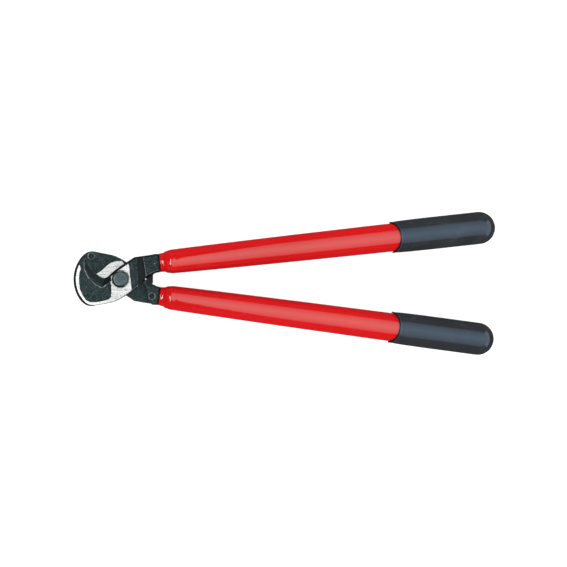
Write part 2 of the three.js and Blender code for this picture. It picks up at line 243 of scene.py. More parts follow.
def surface_net(field, xs, ys, zs):
    """The closed surface where a sampled field is zero, as vertices and four-sided faces."""
    inside = field < 0
    shape = tuple(n - 1 for n in field.shape)
    corner_at = [(i, j, k) for i in (0, 1) for j in (0, 1) for k in (0, 1)]
    windows = [tuple(slice(c, c + n) for c, n in zip(corner, shape)) for corner in corner_at]
    count = sum(inside[window].astype(np.uint8) for window in windows)
    cells = np.argwhere((count > 0) & (count < 8))
    index = np.full(shape, -1, np.int64)
    index[tuple(cells.T)] = np.arange(len(cells))
    values = np.stack([field[tuple((cells + c).T)] for c in corner_at], 1)
    total, hits = np.zeros((len(cells), 3)), np.zeros(len(cells))
    for a in range(8):
        for b in range(a + 1, 8):
            ca, cb = np.array(corner_at[a]), np.array(corner_at[b])
            if abs(ca - cb).sum() != 1:
                continue
            va, vb = values[:, a], values[:, b]
            crossed = (va < 0) != (vb < 0)
            t = np.where(crossed, va / np.where(crossed, va - vb, 1), 0)
            total += np.where(crossed[:, None], ca + t[:, None] * (cb - ca), 0)
            hits += crossed
    spots = cells + total / hits[:, None]
    steps = np.array([axis[1] - axis[0] for axis in (xs, ys, zs)])
    verts = spots * steps + np.array([xs[0], ys[0], zs[0]])
    faces = []
    for axis in range(3):
        here = [slice(1, -1)] * 3
        here[axis] = slice(0, -1)
        ahead = list(here)
        ahead[axis] = slice(1, None)
        first, second = inside[tuple(here)], inside[tuple(ahead)]
        spot = np.argwhere(first != second) + [0 if a == axis else 1 for a in range(3)]
        turned = first[first != second]
        u, v = [np.eye(3, dtype=int)[(axis + n) % 3] for n in (1, 2)]
        ring = [index[tuple((spot - d).T)] for d in (u + v, v, 0 * u, u)]
        quad = np.stack(ring, 1)
        quad[~turned] = quad[~turned][:, ::-1]
        faces.append(quad)
    return verts, np.concatenate(faces)


# ---- blade ----

ROOT = (-20, 1.2)
TIP = (-43.7, 26.2)
EDGE_LINE = [(-13.8, 4.6), *quad_curve((-13.8, 4.6), (-16.6, 1.1), ROOT)]
EDGE_LINE += quad_curve(ROOT, (-31.8, 2.6), TIP, 24)


def handle_point(along, across):
    """The plan position of a point along and across the handle's axis."""
    c, s = math.cos(HANDLE_ANGLE), math.sin(HANDLE_ANGLE)
    return (along * c - across * s, HANDLE_OFFSET + along * s + across * c)


def handle_place(x, y):
    """How far a plan position is along and across the handle's axis."""
    c, s = math.cos(HANDLE_ANGLE), math.sin(HANDLE_ANGLE)
    return x * c + (y - HANDLE_OFFSET) * s, -x * s + (y - HANDLE_OFFSET) * c


SHOULDER_LOW = handle_point(45.7, -10.7)
SHOULDER_HIGH = handle_point(45.7, 10.7)
HEEL = quad_curve((-49.14, -23.6), (-42.1, -34.3), (-31.5, -32.3))
BELLY = [(-14, -29), *quad_curve((-14, -29), (-2.5, -26.8), (9, -17.2)), (25.6, -3.6)]
TANG_FOOT = [(29.1, 1.2), (37.2, 5.7), (41.9, 7.9), SHOULDER_LOW]
PLATE = [
    *arc_points(-14, -0.6, 42, 137.3, 213.2),
    *HEEL,
    *BELLY,
    *TANG_FOOT,
    SHOULDER_HIGH,
    (17.4, 26.35),
    (16.4, 26.3),
    (15.4, 25.8),
    (10, 22.2),
    (3.5, 17.9),
    (-2.4, 13.8),
    *EDGE_LINE,
]
LUG = [
    (26.9, 3.5),
    (30.3, 0.5),
    (31.0, -1.2),
    (37.3, -5.0),
    (37.3, 5.6),
    (39.1, 7.2),
    SHOULDER_LOW,
    SHOULDER_HIGH,
    (37.5, 30.1),
    (33.6, 25.6),
    (33.6, 15.5),
    (31.4, 11),
]
# Sunk panel of the jaw's outer face: inside the rim, and left of the boss.
PANEL = [
    (-43, 36),
    (-58, 26),
    (-50.6, 18.4),
    (-48.2, 15.2),
    (-46.9, 12.0),
    (-48.5, 8.2),
    (-49.1, 2.2),
    (-49.1, -3.7),
    (-48, -12.6),
    (-44.4, -20.2),
    (-40.7, -25.5),
    (-36, -27.8),
    (-30, -27.9),
    (-24.1, -27.2),
    (-18.2, -25.8),
    (-13.5, -24),
    (-10.9, -21.5),
    (-10.5, -13.9),
    (-10.9, -8),
    (-11.4, -2),
    (-12.6, 6),
    (-20, 8),
    (-36, 20),
]
BOSS_LEFT = [(-10.5, -30), (-10.5, -13.9), (-10.9, -8), (-11.4, -2), (-12.6, 6), (-14, 12)]
BOSS_RIGHT = [
    (8.6, 24),
    (9.4, 18.4),
    (10.8, 12.5),
    (11.5, 4.2),
    (12.6, -4.1),
    (13.7, -11.8),
    (15, -20),
]
STEP_LINE = [(26.4, 28), (27, 24.5), (30, 6.6), (31, 0)]
ROUGH_LEFT = [(18.0, 30), (18.5, 24), (20.5, -6)]
# Upper border of the bevel, from beyond the tip to the valley and on under the boss.
BEVEL_LINE = [
    (-43.9, 33),
    (-43.4, 23.7),
    (-43.3, 11.3),
    (-38.3, 1.4),
    (-30.3, -6.7),
    (-21.8, -11),
    (-5, -19.5),
]
# The lap side's ground face is a disc round the pivot and this band along the cutting edge.
GROUND_BAND = [
    (-6, 14),
    (-14, 10),
    (-30, 20),
    (-44, 34),
    (-58, 24),
    (-54, 16),
    (-45, 9),
    (-40, 2.5),
    (-35.5, -2.9),
    (-29.3, -6),
    (-25.6, -8.0),
    (-22.6, -10.2),
    (-19.6, -13.2),
    (-16.3, -16.3),
    (-12.8, -18.7),
    (-9.2, -20.3),
    (-4.5, -21.4),
    (0, -12),
]
# Lines that the outer face's chamfers follow. The one on the jaw's back widens towards the tip;
# the others have a set width and depth.
BACK_LINE = [*arc_points(-14, -0.6, 42, 132, 213.2), (-49.14, -23.6), *HEEL]
LOW_LINE = [HEEL[-1], *BELLY]
HUB_TOP_LINE = [(-15.4, 2.6), (-13.8, 4.6), (-2.4, 13.8), (3.5, 17.9), (10, 22.2), (16.4, 26.3)]
TANG_TOP_LINE = [(16.4, 26.3), SHOULDER_HIGH]
TANG_FOOT_LINE = [BELLY[-1], *TANG_FOOT]
EDGE_CHAMFERS = [
    (LOW_LINE, 1.0, 0.6),
    (HUB_TOP_LINE, 3.0, 2.6),
    (TANG_TOP_LINE, 1.5, 1.2),
    (TANG_FOOT_LINE, 2.0, 1.7),
]


def chamfers(x, y):
    """The distance from each chamfer's line, with the chamfer's width and depth."""
    back = 1.3 + 2.0 * ramp(-x, 31, 45)
    others = [(line_distance(line, x, y), width, depth) for line, width, depth in EDGE_CHAMFERS]
    return [(line_distance(BACK_LINE, x, y), back, 0.7 * back), *others]


def across_line(points, value):
    """x of a line of points at each height, for lines that run roughly along Y."""
    ordered = sorted(points, key=lambda p: p[1])
    return np.interp(value, [p[1] for p in ordered], [p[0] for p in ordered])


def inner_facet_height(x, y):
    """Height of the bevel's flat facet, from the root of the cutting edge towards the boss."""
    return EDGE_TOP + 0.667 * (x + 18) - 0.771 * (y - 1.5)


def bevel_height(x, y):
    """The bevel's two slopes, which rise from the cutting edge and meet in a valley, and the
    side of the boss."""
    reach = [(-45, 29), *EDGE_LINE[:0:-1][:24], ROOT, (-8, -0.2)]
    from_edge = line_distance(reach, x, y)
    border = BEVEL_LINE + [(30, -19), (30, 60), (-43.9, 60)]
    to_border = -area_distance(border, x, y)
    share = from_edge / (from_edge + np.maximum(to_border, 1e-6))
    left = EDGE_TOP + share * (PANEL_TOP - EDGE_TOP) + np.maximum(-to_border, 0) * 0.8
    boss = EDGE_TOP + 2.6 * (x - across_line(BOSS_LEFT, y) + 2.4)
    return np.max([left, inner_facet_height(x, y), boss], 0)


def outer_height(x, y):
    """Height of the blade's outer face over the mid-plane."""
    height = np.full(x.shape, OUTER)
    height -= RELIEF * ramp(-area_distance(PANEL, x, y), -0.1, 0.8)
    beside = x - across_line(BOSS_RIGHT, y)
    step = across_line(STEP_LINE, y) - x
    height -= RELIEF * ramp(beside, 0, 0.9) * ramp(step, -0.2, 0.7)
    rough = ramp(x - across_line(ROUGH_LEFT, y), 0, 1.0) * ramp(step, 0.7, 1.4)
    height -= 0.6 * RELIEF * rough
    height = -both(-height, -bevel_height(x, y), 0.01)
    for distance, width, depth in chamfers(x, y):
        height = np.minimum(height, OUTER - depth + distance * depth / width)
    return height - 0.7 * (1 - ramp(distance_from(TANG_DIMPLE, x, y), 0.6, 1.5))


def distance_from(point, x, y):
    return np.hypot(x - point[0], y - point[1])


def ring_mark(point, x, y):
    """A sunk ring round a point."""
    return 1 - ramp(abs(distance_from(point, x, y) - 3.3), 0.25, 0.75)


def flat(plan):
    """A field over the plan, the same at every height."""
    return plan[:, :, None]


def slope_scale(height, step):
    """Turns a height difference into a distance from the sloping face."""
    gx, gy = np.gradient(height, step)
    return flat(1 / np.sqrt(1 + gx**2 + gy**2))


def blade_mesh(step=0.45):
    """One forging: plate, lug, neck and spigot, with the holes for the bush and the pins."""
    xs = np.arange(-58, 104, step)
    ys = np.arange(-36, 38.5, step)
    ws = np.arange(-10.5, 10.6, step)
    x2, y2 = np.meshgrid(xs, ys, indexing="ij")
    w = ws[None, None, :]

    outline = area_distance(PLATE, x2, y2)
    high = outer_height(x2, y2)
    disc = np.hypot(x2, y2) - GROUND_DISC_RADIUS
    ground = np.minimum(disc, area_distance(GROUND_BAND, x2, y2))
    low = INNER + RELIEF * ramp(ground, -0.1, 0.7) + 0.4 * ring_mark(HOOK_RING, x2, y2)
    top = (w - flat(high)) * slope_scale(high, step)
    bottom = (flat(low) - w) * slope_scale(low, step)
    plate = both(both(flat(outline), top, 0.5), bottom, 0.25)

    lug_area = area_distance(LUG, x2, y2)
    rim = [line_distance(line, x2, y2) for line in (LUG[5:7], [*LUG[7:10]])]
    under = np.maximum(-OUTER, -OUTER + 1.5 - 0.8 * np.minimum(*rim))
    under += 0.45 * ring_mark(LUG_RING, x2, y2)
    lug = both(both(flat(lug_area), flat(under) - w, 0.5), w + INNER, 0.3)
    bridge = np.maximum(flat(np.maximum(lug_area, outline)), abs(w - 0.5) - 1.9)
    solid = either(either(plate, lug, 0.3), bridge, 0.3)

    along, across = (flat(plan) for plan in handle_place(x2, y2))
    radius = np.hypot(across, w)
    neck = both(radius - 8.8, abs(along - 49) - 9, 0.3)
    spigot = both(radius - SPIGOT_RADIUS, abs(along - 79.2) - 22.8, 1.2)
    solid = either(either(solid, neck, 0.8), spigot, 0.3)
    for station in PIN_STATIONS:
        solid = both(solid, PIN_HOLE_RADIUS - np.hypot(along - station, across), 0.2)

    pivot = flat(np.hypot(x2, y2))
    spot_face = both(pivot - SPOT_FACE_RADIUS, OUTER - 0.6 - w, 0.1)
    solid = both(solid, -spot_face, 0.15)
    solid = both(solid, BUSH_HOLE_RADIUS - pivot, 0.3)
    verts, faces = surface_net(solid, xs, ys, ws)
    return verts, faces, blade_marks(*verts.T)


def blade_marks(x, y, z):
    """Where the forging is ground bright, where a highlight is painted along an edge, and where it
    is darker: painted shade, and its own rough band and marks.
    """
    high, low_half = z > OUTER - 1, z < -OUTER + 2.5
    pivot = np.hypot(x, y)
    edge = line_distance(EDGE_LINE, x, y)
    hub_side = across_line(BOSS_RIGHT, y) - x
    behind_step = x - across_line(STEP_LINE, y)
    behind_rough = x - across_line(ROUGH_LEFT, y)

    cut = [(width - distance) * (z > 4) for distance, width, _ in chamfers(x, y)]
    back, low, hub_top, tang_top, foot = [np.clip(c / 0.3, 0, 1) for c in cut]
    low *= high & (x > -30) & (x < 13)
    # Painted shade reaches 1.7 mm past the tang's top chamfer.
    tang_top = np.maximum(tang_top, ramp(cut[3], -1.7, -0.2) * (z > 4))

    seat = np.clip((10.6 - pivot) / 0.3, 0, 1) * high * (1 - hub_top)
    # Painted shadow of the bolt head, strongest towards -X and -Y within 10.1 mm of the pivot; the
    # seat is not ground bright under it.
    shaded = 0.85 * ramp(-(x + y) / pivot, 0.0, 0.9) * np.clip((10.1 - pivot) / 0.3, 0, 1) * seat
    rim = np.clip((z - OUTER + 0.16) / 0.12, 0, 1) * ramp(hub_side, -0.1, 0.4)
    disc = pivot - GROUND_DISC_RADIUS + 5 * ramp(x, 0, 5)
    lap = ramp(-np.minimum(disc, area_distance(GROUND_BAND, x, y)), -0.5, 0.1)
    lap *= np.clip((INNER + 0.3 - z) / 0.2, 0, 1) * (z > -0.1)
    ground = np.max([rim, lap, 0.9 * low, seat * (1 - shaded)], 0) * (1 - shaded)

    # The glint mark: painted highlights along the bevel's border, the step, the rough band's edge,
    # the lug's step, the low edges, the ring marks, the dimple and the rim; along the cutting edge
    # it is the honed steel's own brightness.
    honed = near(edge, 1.0) * np.clip((EDGE_TOP + 1.1 - z) / 0.5, 0, 1) * (z > 0)
    valley = [*BEVEL_LINE[1:6], (-14.6, -5.5), (-12.4, -3)]
    border = near(line_distance(valley, x, y), 0.8) * (z > 5)
    step_edge = near(behind_step - 0.2, 0.6) * (z > OUTER - 0.5) * (y > 5)
    rough_edge = near(behind_rough, 0.5) * (z > 6.5) * (y > -2)
    lug_line = [(26, 3.4), (31.4, 11), (33.6, 15.5), (33.6, 25)]
    lug_step = near(line_distance(lug_line, x, y), 0.6) * low_half
    low_edge = [(12.5, -14.6), (25.6, -3.6), (29.1, 1.2)]
    low_edge_highlight = near(line_distance(low_edge, x, y) - 0.3, 0.8)
    low_edge_highlight = np.maximum(low_edge_highlight, 0.8 * near(cut[4] + 0.3, 0.6)) * (z > OUTER - 1.2)
    hook_ring = distance_from(HOOK_RING, x, y) - 3.8 + 9 * (abs(z - INNER) > 1.3)
    lug_ring = distance_from(LUG_RING, x, y) - 3.9 + 9 * (z > -OUTER + 1)
    rings = near(hook_ring, 0.5) + 0.8 * near(lug_ring, 0.5)
    dot = near(distance_from(TANG_DIMPLE, x, y), 1.4) * (z > 0)
    rim_highlight = rim * ramp(-x, 12, 24)
    glint = np.max([0.5 * honed, 0.6 * border, 0.6 * step_edge, 0.4 * rough_edge], 0)
    glint = np.max([glint, 0.5 * lug_step, 0.75 * rings, 0.8 * dot, 0.6 * low_edge_highlight], 0)
    glint = np.maximum(glint, 0.8 * rim_highlight)

    # The dark mark: painted shade on the bevel's facet, in the chamfers, on the side walls, next to
    # the sleeve and round the bolt head; the rough band, the rings' insides and the lug's top are
    # the forging's own darker surface.
    facet = (abs(z - inner_facet_height(x, y)) < 0.5) & (x > -23) & (x < -10) & (y < 8)
    wall = (z > INNER + 1) & (z < OUTER - 2.8) & (edge > 2)
    rough = ramp(behind_rough, 0, 1) * ramp(-behind_step, 0, 1) * (z > 5)
    painted_shade = ramp(handle_place(x, y)[0], 43.0, 45.3)
    inside_rings = ramp(-np.minimum(hook_ring, lug_ring), 0.6, 1.2)
    lug_top = ramp(x - 0.5 * np.maximum(y - 3, 0), 30.2, 31.6) * ramp(9.5 - y, 0, 2.5) * low_half
    dark = np.max([facet, hub_top, 0.5 * back, 0.9 * foot, tang_top, 0.6 * wall, 0.8 * painted_shade], 0)
    dark = np.max([dark, 0.85 * rough, shaded, 0.5 * inside_rings, 0.75 * lug_top], 0)
    return {"ground": np.clip(ground, 0, 1), "glint": glint, "dark": dark}


# ---- handles ----


def mouth_shift(cut_back, fade_from, fade_to):
    """Moves a piece's mouth back at its top and bottom, fading out along the piece."""
    soft = 0.12
    full = math.hypot(1, soft) - soft

    def shift(angle, height):
        back = (math.hypot(math.cos(angle), soft) - soft) / full
        return cut_back * back * (1 - float(ramp(height, fade_from, fade_to)))

    return shift


def sleeve_mesh():
    """The insulation: a neck with a lip, a shoulder, and a taper that widens into the grip."""
    outside = smooth_profile(
        [
            (9.9, 46.0),
            (10.5, 46.05),
            (10.85, 46.4),
            (10.98, 46.9),
            (11.01, 47.7),
            (11.1, 48.6),
            (11.26, 50.2),
            (11.34, 51.1),
            (11.64, 52.0),
            (12.3, 53.0),
            (12.82, 54.0),
            (13.1, 54.9),
            (13.34, 56.1),
            (13.58, 57.3),
            (13.82, 58.5),
            (14.06, 59.7),
            (14.2, 60.6),
            (14.25, 61.2),
            (14.265, 61.9),
            (14.275, 62.9),
            (14.3, 64.2),
            (14.3, 66),
            (14.42, 70),
            (15.15, 120),
            (15.9, 190),
            (16.4, 255),
            (16.75, 321.5),
            (16.6, 331),
            (16.5, 340.5),
            (16.5, 426),
            (15.5, 428),
        ],
        0.8,
    )
    inside = [(12.3, 428), (12.3, 400), (12.3, 200), (12.3, 56.4), (9.1, 56.4), (9.1, 46.3)]
    verts, faces, _ = lathe(outside + inside, 96, mouth_shift(1.4, 47.5, 54))
    return verts, faces, {}


def grip_mesh():
    """The slip-on grip: a flared lip, a straight body and a domed end."""
    centre, mouth = HANDLE_END - GRIP_RADIUS, GRIP_MOUTH
    dome = [
        (GRIP_RADIUS * math.cos(a), centre + GRIP_RADIUS * math.sin(a))
        for a in np.linspace(0, math.pi / 2, 20)[1:-1]
    ]
    lip = smooth_profile(
        [
            (17.15, mouth + 0.3),
            (17.5, mouth),
            (18.1, mouth + 0.05),
            (18.6, mouth + 0.6),
            (18.72, mouth + 1.5),
            (18.5, mouth + 2.7),
            (18.45, mouth + 4.0),
            (18.7, mouth + 9),
            (18.95, mouth + 16),
            (19.1, mouth + 27),
            (GRIP_RADIUS, mouth + 40),
        ],
        0.5,
    )
    body = [(GRIP_RADIUS, along) for along in np.linspace(mouth + 44, centre, 22)]
    inside = [(0, 433.5), (14.3, 433.5), (16.8, 430.5), (16.8, 400), (16.8, 345)]
    outline = [*inside, (16.85, mouth + 1.2), *lip, *body, *dome, (0.0, HANDLE_END)]
    verts, faces, along = lathe(outline, 112, mouth_shift(10.7, mouth + 4, mouth + 46))
    # Painted shade in the corner at the grip's mouth, and a painted highlight along the lip's bead.
    painted_shade = near(np.maximum(along - mouth - 0.9, 0), 0.6)
    bead_highlight = near(along - mouth - 2.3, 0.8) * (np.hypot(*verts.T[:2]) > 17.9)
    return verts, faces, {"shade": painted_shade, "glint": bead_highlight}


# ---- pivot pieces ----


def bolt_mesh():
    """The pivot bolt, from the middle of its head down to its end."""
    top, end = bolt_high[2] / MM, bolt_low[2] / MM
    seat = top - 5.4
    head = smooth_profile(
        [
            (0.0, top - 0.2),
            (4.6, top - 0.1),
            (7.7, top - 0.02),
            (8.2, top - 0.15),
            (8.9, top - 0.75),
            (9.3, top - 1.4),
        ],
        0.3,
    )
    skirt = [(9.4, top - 2.0), (9.4, seat + 0.5), (9.1, seat + 0.15), (8.8, seat), (6.4, seat)]
    shank = [(6.0, seat - 0.4), (6.0, seat - 6), (6.0, 8.4)]
    flanks = np.arange(8.0, end + 1.0, -BOLT_THREAD_PITCH / 2)
    thread = [(5.9 - 0.32 * (i % 2), height) for i, height in enumerate(flanks)]
    tip = [(5.5, end + 0.7), (5.0, end + 0.15), (4.6, end), (0.0, end)]

    def pitch(angle, height):
        turn = angle / (2 * math.pi) - 0.5
        return BOLT_THREAD_PITCH * turn if end + 1.2 < height < 7.9 else 0

    verts, faces, _ = lathe([*head, *skirt, *shank, *thread, *tip], 96, pitch)
    return verts, faces, bolt_marks(*verts.T)


def bolt_marks(x, y, z):
    """Painted shadow in the corner round the head, towards -X and -Y, and a painted highlight arc
    inside it.
    """
    radius = np.hypot(x, y) + 1e-6
    side = ramp(-(x + y) / radius, -0.1, 1.0) * (z > 20)
    return {
        "shade": 0.9 * side * ramp(radius, 7.6, 8.2),
        "glint": 0.8 * side * near(radius - 7.0, 0.5) * (x < 0),
    }


def ring_mesh(inner, outer, low, high, rise=0.0):
    """A washer with its edges broken. `rise` lifts its outer edge into a cone."""
    e = 0.15
    profile = [
        (inner, low + e),
        (inner + e, low),
        ((inner + outer) / 2, low + rise / 2),
        (outer - e, low + rise),
        (outer, low + rise + e),
        (outer, high + rise - e),
        (outer - e, high + rise),
        ((inner + outer) / 2, high + rise / 2),
        (inner + e, high),
        (inner, high - e),
    ]
    verts, faces, _ = lathe(profile[::-1], 80)
    return verts, faces, {}


def nut_mesh(step=0.3):
    """A hexagon nut with chamfered corners and a round collar, over the nylon ring's seat."""
    low, high = nut_low[2] / MM, nut_high[2] / MM
    xs = ys = np.arange(-11.1, 11.2, step)
    zs = np.arange(low - 0.9, high + 0.9, step)
    x, y, z = np.meshgrid(xs, ys, zs, indexing="ij")
    radius = np.hypot(x, y)
    turns = [math.radians(30 + 60 * i) for i in range(6)]
    hexagon = np.max([x * math.cos(a) + y * math.sin(a) for a in turns], 0) - NUT_HALF_WIDTH
    corner = (radius - NUT_HALF_WIDTH) * 0.5
    top_round = corner + (z - high) * 0.86
    base_round = corner - (z - low - 1.5) * 0.86
    body = both(both(hexagon, top_round, 0.25), base_round, 0.25)
    body = both(body, abs(z - (high + low + 1.5) / 2) - (high - low - 1.5) / 2, 0.2)
    collar = both(radius - 8.95, abs(z - low - 1.6) - 1.55, 0.5)
    body = either(body, collar, 0.3)
    body = both(body, 6.35 - radius, 0.25)
    seat = both(radius - 8.0, z - low - 2.2, 0.1)
    return *surface_net(both(body, -seat, 0.15), xs, ys, zs), {}


# ---- materials ----


class Shader:
    """A material's node tree, with short ways to add the nodes used here."""

    def __init__(self, name):
        self.material = bpy.data.materials.new(name)
        self.material.use_nodes = True
        self.tree = self.material.node_tree
        self.bsdf = self.tree.nodes["Principled BSDF"]
        self.place = self.add("ShaderNodeTexCoord").outputs["Object"]

    def add(self, kind, **settings):
        node = self.tree.nodes.new(kind)
        for key, value in settings.items():
            setattr(node, key, value)
        return node

    def feed(self, socket, value):
        if isinstance(value, bpy.types.NodeSocket):
            self.tree.links.new(value, socket)
        elif isinstance(value, tuple) and len(value) == 3 and socket.type == "RGBA":
            socket.default_value = (*value, 1)
        else:
            socket.default_value = value

    def stretched(self, scale, turn=0.0):
        node = self.add("ShaderNodeMapping")
        self.feed(node.inputs["Vector"], self.place)
        node.inputs["Rotation"].default_value = (0, 0, turn)
        node.inputs["Scale"].default_value = scale
        return node.outputs["Vector"]

    def noise(self, scale, detail=4.0, rough=0.55, vector=None, distortion=0.0):
        node = self.add("ShaderNodeTexNoise")
        self.feed(node.inputs["Vector"], vector or self.place)
        self.feed(node.inputs["Scale"], float(scale))
        self.feed(node.inputs["Detail"], detail)
        self.feed(node.inputs["Roughness"], rough)
        self.feed(node.inputs["Distortion"], distortion)
        return node.outputs["Fac"]

    def range(self, value, low, high, to_low=0.0, to_high=1.0):
        node = self.add("ShaderNodeMapRange", clamp=True)
        self.feed(node.inputs["Value"], value)
        ends = {"From Min": low, "From Max": high, "To Min": to_low, "To Max": to_high}
        for key, number in ends.items():
            node.inputs[key].default_value = number
        return node.outputs["Result"]

    def math(self, operation, a, b=0.0):
        node = self.add("ShaderNodeMath", operation=operation)
        self.feed(node.inputs[0], a)
        self.feed(node.inputs[1], b)
        return node.outputs[0]

    def mix(self, share, a, b):
        node = self.add("ShaderNodeMix", data_type="RGBA")
        self.feed(node.inputs["Factor"], share)
        self.feed(node.inputs["A"], a)
        self.feed(node.inputs["B"], b)
        return node.outputs["Result"]

    def blend(self, share, a, b):
        node = self.add("ShaderNodeMix", data_type="FLOAT")
        self.feed(node.inputs["Factor"], share)
        self.feed(node.inputs["A"], a)
        self.feed(node.inputs["B"], b)
        return node.outputs["Result"]

    def mark(self, name):
        return self.add("ShaderNodeAttribute", attribute_name=name).outputs["Fac"]

    def bump(self, height, strength, distance, normal=None):
        node = self.add("ShaderNodeBump")
        self.feed(node.inputs["Height"], height)
        self.feed(node.inputs["Strength"], strength)
        self.feed(node.inputs["Distance"], distance)
        if normal:
            self.feed(node.inputs["Normal"], normal)
        return node.outputs["Normal"]

    def finish(self, **inputs):
        for key, value in inputs.items():
            self.feed(self.bsdf.inputs[key.replace("_", " ")], value)
        return self.material


def blade_material():
    """Phosphate-blackened forging, with ground faces where the mesh marks them, and the painted
    shade and painted highlights that the mesh marks.
    """
    s = Shader("blackened_steel_forged")
    mottle = s.noise(160, 5, 0.62)
    clouds = s.noise(38, 3, 0.5)
    grain = s.noise(900, 3, 0.7)
    skin = s.mix(s.range(clouds, 0.35, 0.68), (0.0078, 0.0146, 0.0154), (0.0134, 0.0228, 0.0237))
    skin = s.mix(s.range(mottle, 0.56, 0.75, 0, 0.5), skin, (0.028, 0.040, 0.042))
    specks = s.noise(840, 2, 0.6)
    skin = s.mix(s.range(specks, 0.54, 0.70, 0, 0.8), skin, (0.056, 0.074, 0.076))
    skin = s.mix(s.range(specks, 0.46, 0.32, 0, 0.85), skin, (0.003, 0.006, 0.007))
    # Painted shade, and the forging's own darker patches, where the mesh marks it dark.
    skin = s.mix(s.math("MULTIPLY", s.mark("dark"), 0.9), skin, (0.0035, 0.0050, 0.0055))

    lines = s.noise(300, 3, 0.6, s.stretched((0.25, 1.0, 1.0), 0.5))
    cross = s.noise(360, 2, 0.6, s.stretched((1.0, 0.2, 1.0), -0.3))
    smear = s.noise(55, 4, 0.6)
    ground_colour = s.mix(s.range(lines, 0.3, 0.7), (0.295, 0.298, 0.301), (0.425, 0.428, 0.428))
    ground_colour = s.mix(s.range(smear, 0.55, 0.8, 0, 0.45), ground_colour, (0.15, 0.155, 0.16))
    ground_colour = s.mix(s.range(specks, 0.52, 0.68, 0, 0.7), ground_colour, (0.11, 0.11, 0.11))
    ground_colour = s.mix(s.range(specks, 0.46, 0.32, 0, 0.8), ground_colour, (0.50, 0.50, 0.495))

    # Painted highlight: where a glint is marked on ground steel, its colour is lightened further.
    ground_highlight = s.math("MULTIPLY", s.mark("ground"), s.mark("glint"))
    ground_colour = s.mix(s.math("MULTIPLY", ground_highlight, 0.5), ground_colour, (0.62, 0.62, 0.62))

    ragged = s.math("ADD", s.mark("ground"), s.range(mottle, 0.3, 0.7, -0.22, 0.12))
    ground = s.range(ragged, 0.42, 0.62)
    # Painted highlights: the glint mark turns the skin bright like ground steel.
    glint = s.math("ADD", s.mark("glint"), s.range(mottle, 0.35, 0.65, -0.25, 0.1))
    bright = s.math("MAXIMUM", ground, s.range(glint, 0.2, 0.7, 0, 0.8))

    colour = s.mix(bright, skin, ground_colour)
    rough_skin = s.range(mottle, 0.3, 0.75, 0.62, 0.44)
    rough_ground = s.range(lines, 0.3, 0.7, 0.24, 0.36)
    skin_height = s.math("ADD", s.math("MULTIPLY", mottle, 0.6), s.math("MULTIPLY", grain, 0.25))
    ground_height = s.math("ADD", s.math("MULTIPLY", lines, 0.05), s.math("MULTIPLY", cross, 0.02))
    normal = s.bump(s.blend(bright, skin_height, ground_height), 0.55, 0.0006)
    return s.finish(
        Base_Color=colour,
        Metallic=s.math("MULTIPLY", bright, 0.6),
        Specular_IOR_Level=0.05,
        Roughness=s.blend(bright, rough_skin, rough_ground),
        Normal=normal,
    )


def turned_steel(name, dark, light, rough, turning=2600.0):
    """Steel with fine concentric turning marks round the pivot, a few rubbed patches, and painted
    shade and a painted highlight where the mesh marks them.
    """
    s = Shader(name)
    rings = s.add("ShaderNodeTexWave", wave_type="RINGS", rings_direction="Z", wave_profile="SIN")
    s.feed(rings.inputs["Vector"], s.place)
    rings.inputs["Scale"].default_value = turning / 10
    rings.inputs["Distortion"].default_value = 1.2
    rings.inputs["Detail"].default_value = 2.0
    rings.inputs["Detail Scale"].default_value = 30.0
    patches = s.noise(150, 4, 0.6)
    fine = s.noise(1400, 2, 0.6)
    pits = s.noise(800, 2, 0.6)
    colour = s.mix(s.range(patches, 0.35, 0.7), dark, light)
    colour = s.mix(s.range(pits, 0.46, 0.32, 0, 0.6), colour, (0.010, 0.014, 0.016))
    colour = s.mix(s.range(pits, 0.54, 0.70, 0, 0.6), colour, (0.085, 0.105, 0.110))
    colour = s.mix(s.range(rings.outputs["Fac"], 0.2, 0.9, 0, 0.25), colour, light)
    # Painted shadow and a painted highlight, where the mesh marks them.
    colour = s.mix(s.mark("shade"), colour, (0.004, 0.005, 0.006))
    colour = s.mix(s.mark("glint"), colour, (0.16, 0.18, 0.19))
    ring_height = s.math("MULTIPLY", rings.outputs["Fac"], 0.10)
    height = s.math("ADD", ring_height, s.math("MULTIPLY", fine, 0.12))
    return s.finish(
        Base_Color=colour,
        Metallic=0.9,
        Roughness=s.range(patches, 0.3, 0.75, rough + 0.08, rough - 0.06),
        Normal=s.bump(height, 0.35, 0.0003),
    )


def zinc_material():
    """Zinc-plated tube and bush, with a drawn grain along the handle and dull spangles."""
    s = Shader("zinc_steel_drawn")
    drawn = s.noise(420, 3, 0.65, s.stretched((0.03, 1.0, 1.0)))
    cells = s.add("ShaderNodeTexVoronoi")
    s.feed(cells.inputs["Vector"], s.place)
    cells.inputs["Scale"].default_value = 380.0
    colour = s.mix(s.range(drawn, 0.3, 0.7), (0.48, 0.50, 0.53), (0.64, 0.66, 0.68))
    colour = s.mix(s.range(cells.outputs["Distance"], 0.2, 0.7, 0, 0.3), colour, (0.72, 0.72, 0.70))
    return s.finish(
        Base_Color=colour,
        Metallic=0.95,
        Roughness=s.range(drawn, 0.3, 0.7, 0.28, 0.42),
        Normal=s.bump(drawn, 0.3, 0.0002),
    )


